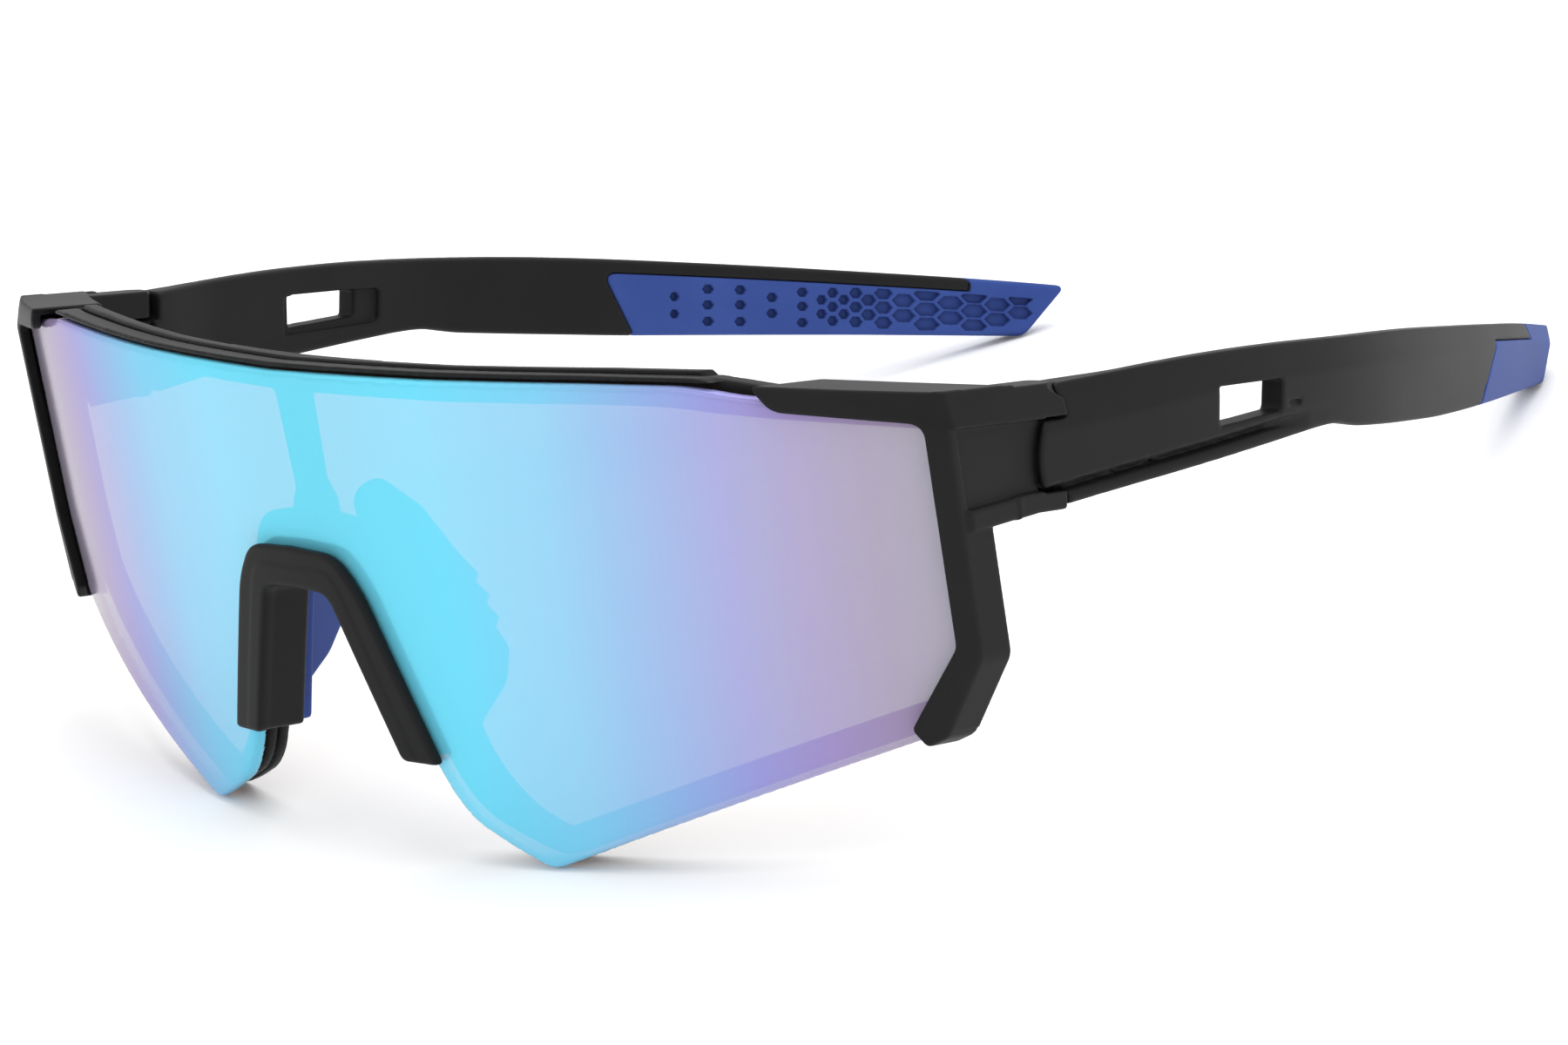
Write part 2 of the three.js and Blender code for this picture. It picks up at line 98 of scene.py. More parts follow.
ARM_END = 160.5

# Outlines of the half at +x, as x and z, from the top centre round to the notch centre. A
# third number rounds the corner.
LENS_EDGE = [(0, 51.7), (22, 52.1), (40, 52.7), (50, 52.9, 2), (55, 52.1, 1.5), (58.5, 51.9),
             (72.7, 51.3, 2), (72.7, 26.6, 1), (68, 17.8), (27.2, 0, 1.2), (23, 1.9, 1.5),
             (18.6, 4.2, 1.5), (16.4, 6.8, 1.5), (14.4, 10.6, 2), (8, 28.6, 1.5),
             (6.4, 31, 1.5), (0, 31)]
RIM_EDGE = [(0, 52.5), (22, 52.9), (40, 53.5), (51, 53.7, 2), (56.4, 52.9), (56.4, 51.8),
            (71.6, 51, 2), (71.6, 26.8, 1), (67, 18.5), (27.3, 1.15, 1.2), (23.2, 2.6, 1.5),
            (18.8, 4.6, 1.5), (16.4, 6.9, 1.5), (14.4, 10.6, 2), (8, 28.6, 1.5),
            (6.4, 31, 1.5), (0, 31)]
EYE_WINDOW = [(1.7, 49.3, .8), (22, 49.6), (40, 50.3), (46, 50.4, 2), (51.5, 49.9, 2),
              (56, 49.6), (70.7, 49, 1.5), (70.7, 27.4, 1), (66.7, 21.2), (26.8, 3.9, 1),
              (22.6, 6, 2), (19.4, 9.5, 2), (17.2, 14), (11.8, 29.3, 3), (8.4, 35.5, 3),
              (2, 36.2, 1), (1.3, 38)]
GROOVE_EDGE = [(0, 80), (90, 80), (90, 24), (66.7, 18.5), (27.3, 1.9, 1.2), (23.4, 3.3, 1.5),
               (19.2, 5.2, 1.5), (17, 7.3, 1.5), (15, 10.9, 2), (8.6, 28.8, 1.5),
               (6.9, 31.6, 1.5), (0, 31.6)]
BRIDGE_OUTER = [(0, 32.7), (6.6, 32.4, 2), (9.6, 28.4, 2), (16.4, 10.4, .8)]
BRIDGE_INNER = [(11.7, 10.4, .8), (5, 28, 1.6), (0, 28.3)]
BRIDGE_WALL = [(0, 30.5), (5.9, 30.5, 1.4), (7.2, 28.3), (13.7, 10.9)]
CLIP_OUTER = [(57.2, 53.3, .8), (74.1, 53.1, 1.2), (74.1, 26.2, .8), (70.2, 17.8, .6),
              (68.3, 16.7, .5)]
CLIP_INNER = [(67.1, 18.5, .6), (72, 27.2, .6), (72, 49.9, 1.4), (59, 50.7, 1)]
POCKET = [(40, 54.9), (56.7, 54.9), (56.7, 52.5), (73.1, 51.7, 2), (73.1, 26.5, 1),
          (68.1, 17.1), (40, 4.6)]
SIDE_WALL = [(72.6, 53.1), (74.1, 53.1, 1), (74.1, 26.2, .8), (70.5, 18.6), (69.5, 19.2),
             (72.6, 26.7)]
# The arm: y, z of its top and bottom edge and y, x of its outer face.
ARM_TOP = [(20, 52.2), (32, 52.9), (45, 53.8), (55, 54.1), (66, 54.1), (85, 53.5), (98, 52.7),
           (121, 50.8), (145.5, 48.5), (160.5, 46.9), (172, 45.2)]
ARM_BOTTOM = [(20, 39.5), (27, 40.4), (36, 41.4), (49.5, 42.8), (60, 43.9), (68, 44.7),
              (72.5, 44.9), (75.5, 44.1), (85, 43.4), (100.5, 42.4), (132.5, 41.1),
              (155, 40.05), (172, 39.35)]
ARM_FACE = [(20, 74.5), (30, 75), (48, 75.8), (60, 75.6), (72, 75), (83, 72.9), (93.5, 69.6),
            (104, 66.2), (114.5, 62.2), (125, 57.9), (136, 53), (146.5, 48), (160.5, 42),
            (172, 36.6)]
VENT = [(50.2, 46.4, .5), (60.8, 47.2, .5), (60.9, 50.6, .5), (50.1, 50.55, .5)]


# ------------------------------------------------------------------ distance fields
def rounded(corners):
    """Plain points of a closed outline, with each radiused corner rounded off."""
    out = []
    for i, (a, b, *radius) in enumerate(corners):
        here = np.array((a, b), float)
        if not radius:
            out.append(here)
            continue
        before = np.array(corners[i - 1][:2], float) - here
        after = np.array(corners[(i + 1) % len(corners)][:2], float) - here
        start = here + before / np.linalg.norm(before) * radius[0]
        end = here + after / np.linalg.norm(after) * radius[0]
        for t in np.linspace(0, 1, 6):
            out.append((1 - t) ** 2 * start + 2 * t * (1 - t) * here + t * t * end)
    return np.array(out)


def both_halves(half):
    right = rounded(half)
    left = right[right[:, 0] > 1e-6] * (-1, 1)
    return np.vstack([right, left[::-1]])


def polygon(points, a, b):
    """Signed distance to a closed outline, negative inside."""
    a, b = np.broadcast_arrays(np.asarray(a, np.float32), np.asarray(b, np.float32))
    nearest = np.full(a.shape, 1e9, np.float32)
    inside = np.zeros(a.shape, bool)
    for (x0, z0), (x1, z1) in zip(points, np.roll(points, -1, axis=0)):
        dx, dz = x1 - x0, z1 - z0
        along = np.clip(((a - x0) * dx + (b - z0) * dz) / (dx * dx + dz * dz + 1e-12), 0, 1)
        away = (a - x0 - along * dx) ** 2 + (b - z0 - along * dz) ** 2
        nearest = np.minimum(nearest, away)
        if abs(dz) > 1e-9:
            crosses = ((z0 > b) != (z1 > b)) & (a < x0 + dx * (b - z0) / dz)
            inside ^= crosses
    return np.where(inside, -1, 1) * np.sqrt(nearest)


def join(a, b, r=0.25):
    h = np.maximum(r - np.abs(a - b), 0) / r
    return np.minimum(a, b) - h * h * r / 4


def meet(a, b, r=0.25):
    h = np.maximum(r - np.abs(a - b), 0) / r
    return np.maximum(a, b) + h * h * r / 4


def cut(a, b, r=0.25):
    return meet(a, -b, r)


def between(v, low, high):
    return np.maximum(low - v, v - high)


def block(x, y, z, xs, ys, zs, r=0.02):
    return meet(meet(between(x, *xs), between(y, *ys), r), between(z, *zs), r)


def pin(x, y, radius):
    return np.sqrt((x - HINGE[0]) ** 2 + (y - HINGE[1]) ** 2) - radius


def ahead(x, y, z):
    """How far a point lies in front of the lens' outer face."""
    level = y * math.cos(LENS_TILT) + z * math.sin(LENS_TILT)
    plan = LENS_FRONT + x ** 2 / (2 * LENS_RADIUS) - LENS_OPENING * x ** 4
    slope = x / LENS_RADIUS - 4 * LENS_OPENING * x ** 3
    return (plan - level) / np.sqrt(1 + slope ** 2)


def sheet(x, y, z, inner, outer):
    return between(ahead(x, y, z), inner, outer)


def smoothed(rows, reach):
    """Fine look-up table in which the long edges curve instead of kinking."""
    keys, values = np.array(rows, float).T
    fine = np.arange(keys[0], keys[-1] + 0.01, 0.25)
    line = np.interp(fine, keys, values)
    half = int(reach / 0.25)
    for _ in range(3):
        ends = [2 * line[0] - line[half:0:-1], line, 2 * line[-1] - line[-2:-half - 2:-1]]
        line = np.convolve(np.concatenate(ends), np.full(2 * half + 1, 1 / (2 * half + 1)), "valid")
    return fine, line


# ------------------------------------------------------------------ meshing
CENTRE_PULL = 0.06      # holds a cell's point near the middle of its crossings


def corner_view(values, offset):
    return values[tuple(slice(o, o + n - 1) for o, n in zip(offset, values.shape))]


def slope_at(field, points, d=0.02):
    x, y, z = points.T
    return np.stack([field(x + d, y, z) - field(x - d, y, z),
                     field(x, y + d, z) - field(x, y - d, z),
                     field(x, y, z + d) - field(x, y, z - d)], axis=1) / (2 * d)


def edge_crossings(field, values, number, start, step):
    """Where the surface crosses the grid's edges: (ring of four cells, spot, slope) per axis."""
    solid = values < 0
    unit = np.eye(3, dtype=int)
    for axis in range(3):
        u, v = (axis + 1) % 3, (axis + 2) % 3
        here = solid[tuple(slice(0, n - s) for n, s in zip(solid.shape, unit[axis]))]
        there = solid[tuple(slice(s, n) for n, s in zip(solid.shape, unit[axis]))]
        edges = np.argwhere(here != there)
        edges = edges[(edges[:, u] > 0) & (edges[:, v] > 0)]
        ring = np.stack([number[tuple((edges - d).T)]
                         for d in (unit[u] + unit[v], unit[v], 0 * unit[u], unit[u])], axis=1)
        first = values[tuple(edges.T)]
        second = values[tuple((edges + unit[axis]).T)]
        spots = start + (edges + (first / (first - second))[:, None] * unit[axis]) * step
        slope = slope_at(field, spots)
        slope /= np.maximum(np.linalg.norm(slope, axis=1, keepdims=True), 1e-6)
        yield ring, first < 0, spots, slope


def corner_points(sums, step):
    """One point per cell, where the planes through its crossings meet."""
    centre = (sums[:3] / sums[3]).T
    planes = sums[[4, 5, 6, 5, 7, 8, 6, 8, 9]].T.reshape(-1, 3, 3)
    wanted = sums[10:].T - np.einsum("nij,nj->ni", planes, centre)
    moves = np.linalg.solve(planes + CENTRE_PULL * np.eye(3), wanted[:, :, None])[:, :, 0]
    return centre + np.clip(moves, -0.7 * step, 0.7 * step)


def contour(field, low, high, step):
    """Quad mesh of the surface field = 0 that keeps its edges crisp: (points, quads).

    Each grid cell that the surface crosses gets one point, which is then drawn on to the
    surface. Each grid edge that the surface crosses gets one quad between its four cells.
    """
    axes = [np.arange(l - 2 * step, h + 3 * step, step) for l, h in zip(low, high)]
    start = np.array([a[0] for a in axes])
    shape = tuple(len(a) for a in axes)
    values = field(axes[0][:, None, None], axes[1][None, :, None], axes[2][None, None, :])
    values = np.ascontiguousarray(np.broadcast_to(values, shape)).astype(np.float32)
    count = sum(corner_view(values < 0, (i, j, k)).astype(np.int8)
                for i in (0, 1) for j in (0, 1) for k in (0, 1))
    cells = np.argwhere((count > 0) & (count < 8))
    number = np.full([n - 1 for n in shape], -1, np.int64)
    number[tuple(cells.T)] = np.arange(len(cells))
    sums = np.zeros((13, len(cells)))
    quads = []
    for ring, leaving, spots, n in edge_crossings(field, values, number, start, step):
        reach = (n * spots).sum(1)
        rows = [*spots.T, np.ones(len(n)), n[:, 0] ** 2, n[:, 0] * n[:, 1], n[:, 0] * n[:, 2],
                n[:, 1] ** 2, n[:, 1] * n[:, 2], n[:, 2] ** 2, *(n.T * reach)]
        for corner in ring.T:
            for total, row in zip(sums, rows):
                total += np.bincount(corner, row, len(cells))
        quads.append(np.where(leaving[:, None], ring, ring[:, ::-1]))
    points = corner_points(sums, step)
    for _ in range(2):
        n = slope_at(field, points)
        value = field(*points.T) / np.maximum((n ** 2).sum(1), 0.3)
        points = points - n * np.clip(value, -0.4 * step, 0.4 * step)[:, None]
    return points, np.vstack(quads)


def to_part(points):
    """Worn frame in mm -> part frame in metres."""
    x, y, z = np.asarray(points, float).T
    c, s = math.cos(REST_TILT), math.sin(REST_TILT)
    part = np.stack([x + REST_SHIFT[0], y * c + z * s + REST_SHIFT[1],
                     z * c - y * s + REST_SHIFT[2]], axis=1)
    return part / 1000


def make_object(name, points, quads, material):
    mesh = bpy.data.meshes.new(name)
    mesh.vertices.add(len(points))
    mesh.vertices.foreach_set("co", to_part(points).astype(np.float32).ravel())
    mesh.loops.add(quads.size)
    mesh.loops.foreach_set("vertex_index", quads.astype(np.int32).ravel())
    mesh.polygons.add(len(quads))
    starts = np.arange(0, quads.size, 4, dtype=np.int32)
    mesh.polygons.foreach_set("loop_start", starts)
    mesh.polygons.foreach_set("use_smooth", np.ones(len(quads), bool))
    mesh.update(calc_edges=True)
    mesh.validate()
    mesh.materials.append(material)
    piece = bpy.data.objects.new(name, mesh)
    bpy.context.scene.collection.objects.link(piece)
    return piece


BODY = {"left": "temple_left", "right": "temple_right"}


def finish_piece(piece, body, node):
    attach(piece, body)
    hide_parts(node)


def single(node, field, low, high, step, look, materials):
    points, quads = contour(field, low, high, step)
    piece = make_object(f"{node}_moulded", points, quads, materials[look])
    finish_piece(piece, "front", node)
    return piece


def line_rear(lens, material):
    """Gives the rear face of the lens its own material."""
    lens.data.materials.append(material)
    count = len(lens.data.polygons)
    centres = np.empty(count * 3)
    lens.data.polygons.foreach_get("center", centres)
    x, y, z = (centres.reshape(-1, 3) * 1000 - REST_SHIFT).T
    c, s = math.cos(REST_TILT), math.sin(REST_TILT)
    margin = 0.35
    rear = ahead(x, y * c - z * s, y * s + z * c) < -LENS_THICK + margin
    lens.data.polygons.foreach_set("material_index", rear.astype(np.int32))


def pair(stem, field, low, high, step, look, materials, moving=False):
    """Left piece from the field, right piece as its mirror image."""
    points, quads = contour(field, low, high, step)
    for side, sign in (("left", 1), ("right", -1)):
        node = f"{stem}_{side}"
        order = quads if sign > 0 else quads[:, ::-1]
        piece = make_object(f"{node}_moulded", points * (sign, 1, 1), order, materials[look])
        finish_piece(piece, BODY[side] if moving else "front", node)


# ------------------------------------------------------------------ front pieces
def lens_field(x, y, z):
    edge = polygon(both_halves(LENS_EDGE), x, z)
    return meet(sheet(x, y, z, -LENS_THICK, 0), edge, 0.7)


def lip_outline():
    low = [(x, z + GAP) for x, z, *_ in LENS_EDGE[:4]][::-1]
    return both_halves(RIM_EDGE[:3] + [(51, 53.7, .5), (52.6, 53.3), (51.4, 53.15)] + low)


BROW_SEAT = -3.1        # face of the rim that the brow bar sits behind


def brow_outline(extra):
    """Outline of the brow bar, or of its seat when grown by a gap."""
    up, down = 1.15 + extra, 2.2 + extra
    return both_halves([(0, 51.7 + up), (22, 52.1 + up), (40, 52.8 + up), (49.4 + extra, 53 + up),
                        (53 + extra, 52.4 - down), (40, 52.8 - down), (22, 52.1 - down),
                        (0, 51.7 - down)])


def rim_field(x, y, z):
    front = -LENS_THICK - GAP
    body = meet(sheet(x, y, z, -RIM_BACK, front), polygon(both_halves(RIM_EDGE), x, z), 0.4)
    lip = meet(sheet(x, y, z, -RIM_BACK, -GAP), polygon(lip_outline(), x, z), 0.3)
    body = join(body, lip, 0.1)
    body = cut(body, polygon(rounded(EYE_WINDOW), np.abs(x), z), 0.5)
    seat = meet(sheet(x, y, z, -RIM_BACK - 3, BROW_SEAT), polygon(brow_outline(GAP), x, z), 0.1)
    body = cut(body, seat, 0.2)
    groove = meet(sheet(x, y, z, -3.6, -3.15), -polygon(both_halves(GROOVE_EDGE), x, z), 0.1)
    return cut(body, groove, 0.25)


def brow_field(x, y, z):
    bar = meet(sheet(x, y, z, -5.4, BROW_SEAT - GAP), polygon(brow_outline(0), x, z), 0.45)
    pad = meet(sheet(x, y, z, -6.6, -5.2), block(x, y, z, (-12, 12), (-20, 20), (49.8, 52.8), .5),
               0.5)
    return join(bar, pad, 0.6)


def bridge_field(x, y, z):
    outline = polygon(both_halves(BRIDGE_OUTER + BRIDGE_INNER), x, z)
    face = meet(sheet(x, y, z, GAP, BRIDGE_RISE), outline, 0.5)
    wall = meet(sheet(x, y, z, -RIM_BACK, BRIDGE_RISE),
                polygon(both_halves(BRIDGE_WALL + BRIDGE_INNER), x, z), 0.5)
    return join(face, wall, 0.3)


def arc_points(cx, cy, radius, start, end, steps=8):
    angles = np.radians(np.linspace(start, end, steps + 1))
    return [(cx + radius * math.cos(a), cy + radius * math.sin(a)) for a in angles]


def skin_edge(z, y):
    """y of the bowed seam between end piece and arm on the outer face, from its ends' y."""
    half_height, bow = 3.9, 0.9
    across = (z - HINGE_MID_Z) / half_height
    return y - bow * np.maximum(1 - across ** 2, 0)


def lower_lug_edges(y):
    """z of the lower lug's bottom and top edge; it tapers towards the hinge."""
    return (38.9 + 1.1 * np.clip((y - 12) / 11, 0, 1), 40.9 + 1.2 * np.clip((y - 8) / 13, 0, 1))


def ridge_height(x):
    """z of the crease along the clip's top band, from its inner end to the corner."""
    return np.interp(x, (60, 66, 70, 72.5, 74.7), (52.4, 52.2, 51.2, 50.2, 49.5))


def lug_end(x, z):
    """y of the seam between the upper lug and the arm, which runs forward near the top."""
    outside = np.clip((x - 72.6) / 1.2, 0, 1)
    return HINGE[1] + LUG_R - 2.6 * outside * np.clip((z - 51.2) / 1.3, 0, 1)


def clip_field(x, y, z):
    """Clip over the lens' corner and the side wall, with the bands that lead to the lugs."""
    proud = ahead(x, y, z)
    low, top = lower_lug_edges(y)
    shallow = -proud - SIDE_WALL_DEPTH
    front = meet(sheet(x, y, z, -CORNER_DEPTH, CLIP_RISE),
                 polygon(rounded(CLIP_OUTER + CLIP_INNER), x, z), 0.45)
    front = meet(front, join(shallow, CORNER_Z - z, 0.6), 0.3)
    wall = polygon(rounded(SIDE_WALL), x, z)
    wall = meet(meet(wall, proud - CLIP_RISE, 0.45), shallow, 0.3)
    upper = meet(between(x, 72.6, 74.7), between(z, 49.4, 53.0), 0.3)
    upper = meet(meet(upper, proud - CLIP_RISE, 0.45), y - 20, 0.2)
    lower = meet(between(x, 72.6, 74.6), between(z, low, top), 0.5)
    lower = meet(meet(lower, proud - 0.9, 0.5), y - 20, 0.2)
    pocket = meet(sheet(x, y, z, -RIM_BACK - 2, GAP), polygon(rounded(POCKET), x, z), 0.1)
    return cut(join(join(front, wall, 0.3), join(upper, lower, 0.1), 0.15), pocket, 0.15)


def lugs_field(x, y, z):
    """Block behind the rim that carries the two hinge lugs."""
    hx, hy = HINGE
    low, _ = lower_lug_edges(y)
    plan = [(69.8, 10), (73.9, 8), (74.7, 14), (74.7, hy + LUG_R, .3), (hx, hy + LUG_R),
            *arc_points(hx, hy, LUG_R, 90, 156), (69.8, 20)]
    lugs = meet(polygon(rounded(plan), x, y), between(z, low, LUG_TOP_Z[1] + 0.3), 0.5)
    lugs = meet(lugs, ahead(x, y, z) + RIM_BACK + GAP, 0.1)
    return meet(lugs, y - lug_end(x, z), 0.15)


def bevelled(shape, x, y, z):
    """Takes the slanting facets off the clip's top band and the upper lug."""
    lean, square = 0.35, 0.94
    facet = ahead(x, y, z) - CLIP_RISE + lean * (z - ridge_height(x))
    side = x - 74.65 + lean * (z - 49.5)
    return meet(meet(shape, facet * square, 0.25), side * square, 0.25)


def endpiece_field(x, y, z):
    hx, hy = HINGE
    shape = bevelled(join(clip_field(x, y, z), lugs_field(x, y, z), 0.3), x, y, z)
    zone = between(z, KNUCKLE_Z[0] - GAP, KNUCKLE_Z[1] + GAP)
    socket = meet(pin(x, y, KNUCKLE_R + PIN_ROOM), zone, 0.05)
    skin = meet(skin_edge(z, hy - SKIN_BACK - SKIN_ROOM) - y, zone, 0.05)
    inside = meet(meet(x - hx, hy - KNUCKLE_R - PIN_ROOM - y, 0.05), zone, 0.05)
    for tool in (socket, skin, inside):
        shape = cut(shape, tool, 0.2)
    panel = meet(meet(PANEL_X - x, ahead(x, y, z) - PANEL_EDGE, 0.3),
                 between(z, lower_lug_edges(y)[1], 49.4), 0.3)
    shape = cut(shape, panel, 0.25)
    shaft = meet(pin(x, y, SCREW_HOLE_R), z - 51.8, 0.05)
    seat = meet(pin(x, y, 1.65), z - LUG_LOW_Z[0] - 1.1, 0.05)
    return cut(cut(shape, shaft, 0.1), seat, 0.1)


WING = [(-0.6, -15.4, .8), (-0.6, 10.5, 1.2), (1.5, 14, 1.2), (4.4, 14.6, 1.4), (7.6, 10),
        (9.4, 4), (10.6, 1.2), (9.9, .4), (10.8, -1.4), (10, -2.2), (10.8, -4), (9.9, -4.8),
        (10.4, -7.4, .6), (8.4, -10.8, .8), (2, -15, 1)]
PAD_ROOT = [(6.4, 30, .6), (8.9, 30, .6), (16, 10.6, .6), (13.5, 10.6, .6)]


def pad_field(x, y, z):
    flare, lean = math.radians(12), math.atan(0.393)
    back = np.array((math.sin(flare), math.cos(flare), 0))
    up = np.array((-math.sin(lean), 0, math.cos(lean)))
    side = np.cross(back, up)
    side /= np.linalg.norm(side)
    basis = np.linalg.inv(np.stack([back, up, side], axis=1))
    c, s = math.cos(LENS_TILT), math.sin(LENS_TILT)
    dx, dy, dz = x - 9, y * c + z * s - 1.4, z * c - y * s - 26
    a, b, n = (row[0] * dx + row[1] * dy + row[2] * dz for row in basis)
    crown = 0.25 * np.clip(1 - ((a - 4.5) / 6.5) ** 2, 0, 1)
    plate = meet(polygon(rounded(WING), a, b), between(n, -1 + crown * 0.4, 1 - 0.25 + crown), 1.0)
    sole = meet(sheet(x, y, z, -RIM_BACK - 2.4, -RIM_BACK - GAP), polygon(rounded(PAD_ROOT), x, z),
                0.5)
    whole = join(plate, sole, 0.6)
    return meet(whole, ahead(x, y, z) + RIM_BACK + GAP, 0.2)


# ------------------------------------------------------------------ arms
TOP_LINE = smoothed(ARM_TOP, 5)
BOTTOM_LINE = smoothed(ARM_BOTTOM, 1.5)
FACE_LINE = smoothed(ARM_FACE, 5)


def arm_section(x, y):
    """Depth below the outer face, thickness, top and bottom of the arm at each point."""
    face = np.interp(y, *FACE_LINE)
    top = np.interp(y, *TOP_LINE)
    bottom = np.interp(y, *BOTTOM_LINE)
    depth = (face - x) * ARM_SLANT
    near_hinge = np.clip((38 - y) / 12, 0, 1)
    thick = (ARM_THICK + 1.6 * near_hinge ** 2 * (3 - 2 * near_hinge)) * ARM_SLANT
    return depth, thick, top, bottom


def arm_blank(x, y, z):
    depth, thick, top, bottom = arm_section(x, y)
    shape = meet(meet(-depth, depth - thick, 0.2), meet(bottom - z, z - top, 0.2), 0.9)
    crease = top - np.interp(y, (27, 60, 145), (4.3, 3.4, 2.2))
    bevel = ((z - crease) * 0.42 - depth) * 0.92
    shape = meet(shape, bevel, 0.15)
    tail = [(10, 60), (ARM_END, 60), (ARM_END, 46.5, .8), (ARM_END - 5.6, 40, 1),
            (ARM_END - 8, 30), (10, 30)]
    return meet(shape, polygon(rounded(tail), y, z), 0.9)


def grip_region(x, y, z, extra):
    """Room that the soft grip takes out of the arm, grown by extra."""
    depth, _, top, _ = arm_section(x, y)
    under_spine = z - (top - SPINE_DEPTH + extra)
    skin_end = [(95.9 - extra, 54), (102.4 - extra, 41), (102.4 - extra, 30), (175, 30),
                (175, 60), (95.9 - extra, 60)]
    skin = meet(polygon(rounded(skin_end), y, z), under_spine, 1.8)
    skin = meet(skin, (ARM_THICK - GRIP_SKIN - extra) * ARM_SLANT - depth, 0.1)
    sleeve_end = [(115 - extra, 30), (115 - extra, 41), (118.4 - extra, 41.8),
                  (127.4 - extra, 50), (132 - extra, 60), (175, 60), (175, 30)]
    sleeve = meet(under_spine, polygon(rounded(sleeve_end), y, z), 0.3)
    dome = 147.6 - extra - y - 1.2 * np.clip(1 - ((depth - 1.8) / 1.9) ** 2, -1, 1)
    return join(join(skin, sleeve, 0.05), dome, 0.05)


def tongue(x, y, z, extra):
    """Core of the hard arm inside the sleeve of the grip, grown by extra."""
    depth, _, top, bottom = arm_section(x, y)
    across = between(depth, (1.2 - extra) * ARM_SLANT, (ARM_THICK - 1.8 + extra) * ARM_SLANT)
    tall = between(z, bottom + 2.6 - extra, top - 1.2 + extra)
    return meet(meet(across, tall, 0.2), between(y, 110, 148 + extra), 0.2)


def vent_and_mark(shape, x, y, z):
    """Cuts the vent, the sunk ring round it on the inner face and the small mark behind it."""
    depth = arm_section(x, y)[0]
    shape = cut(shape, polygon(rounded(VENT), y, z), 0.3)
    recess = [(49, 45.6, .6), (64.2, 46.3, .8), (64.4, 50.6, .8), (49, 50.4, .6)]
    sink = meet(polygon(rounded(recess), y, z), (ARM_THICK - CELL_DEPTH) * ARM_SLANT - depth, 0.2)
    shape = cut(shape, sink, 0.4)
    mark = np.sqrt(np.clip(np.abs(y - 63.2) - 0.9, 0, None) ** 2 + (z - 47.9) ** 2) - 0.22
    return cut(shape, meet(mark, depth - 0.3, 0.1), 0.2)


def groove_and_bead(shape, x, y, z):
    """Cuts the groove low on the outer face and rounds the bead below it."""
    depth, _, _, bottom = arm_section(x, y)
    fade = np.clip((66 - y) / 8, 0, 1)
    line = between(z, bottom + 1.6, bottom + 2.5)
    shape = cut(shape, meet(line, depth - 0.9 * fade, 0.3), 0.25)
    bead = np.sqrt((z - bottom - 0.5) ** 2 + (depth - 1.3) ** 2) - 1.15
    strip = meet(z - bottom - 1.9, depth - 1.2 * fade, 0.2)
    return cut(shape, cut(strip, bead, 0.1), 0.2)


def knuckle_end(shape, x, y, z):
    """Frees the arm from the two lugs and gives it the knuckle between them."""
    hx, hy = HINGE
    over = meet(y - lug_end(x, z) - PIN_ROOM, KNUCKLE_Z[1] - z, 0.05)
    under = meet(y - hy - LUG_R - GAP, z - KNUCKLE_Z[0], 0.05)
    shape = cut(cut(shape, over, 0.3), under, 0.3)
    shape = cut(shape, y - skin_edge(z, hy - SKIN_BACK), 0.3)
    shape = cut(shape, meet(x - hx - 2, y - hy, 0.05), 0.1)
    shape = cut(shape, meet(x - hx + 1.5, y - hy - 1.85, 0.05), 0.3)
    knuckle = meet(pin(x, y, KNUCKLE_R), between(z, *KNUCKLE_Z), 0.3)
    return cut(join(shape, knuckle, 0.3), pin(x, y, SCREW_HOLE_R), 0.1)


def arm_field(x, y, z):
    shape = vent_and_mark(arm_blank(x, y, z), x, y, z)
    shape = knuckle_end(groove_and_bead(shape, x, y, z), x, y, z)
    hard = cut(shape, grip_region(x, y, z, SEAM), 0.3)
    return join(hard, meet(tongue(x, y, z, 0), arm_blank(x, y, z), 0.1), 0.05)


# Rows of recessed cells across the grip: y, length and height of a cell, and the heights of
# the cells over the strip's middle line.
CELLS = [(107.2, 1.35, 1.15, (1.2, -1.1)), (111.8, 1.65, 1.2, (2.3, .2, -2)),
         (116.2, 1.65, 1.2, (2.3, .3, -1.95)), (120.5, 1.6, 1.2, (1.4, -.75)),
         (124.6, 1.6, 1.2, (2.2, .3, -1.9)), (127.2, 1.5, 1.25, (1.25, -.65)),
         (128.7, 1.55, 1.3, (2.25, .35, -1.55)), (130.2, 1.6, 1.3, (1.35, -.6)),
         (131.8, 1.85, 1.4, (2.3, .4, -1.6)), (133.5, 2.1, 1.45, (1.4, -.6)),
         (135.5, 2.5, 1.6, (2.4, .45, -1.6)), (138.2, 3.2, 1.75, (1.5, -.55)),
         (141.3, 3.6, 1.8, (2.5, .4, -1.65)), (144.5, 3.7, 1.8, (1.4, -.65)),
         (147.7, 3.7, 1.8, (2.4, .4, -1.65)), (150.9, 3.7, 1.8, (1.4, -.65)),
         (154.1, 3.5, 1.7, (2.3, .4))]


def hexagon(a, b, length, height):
    """Distance to a stretched hexagon with two corners along a."""
    a, b = np.abs(a), np.abs(b)
    slant = (a * height / 2 + b * length / 4 - length * height / 4) / math.hypot(height / 2,
                                                                                 length / 4)
    return np.maximum(b - height / 2, slant)


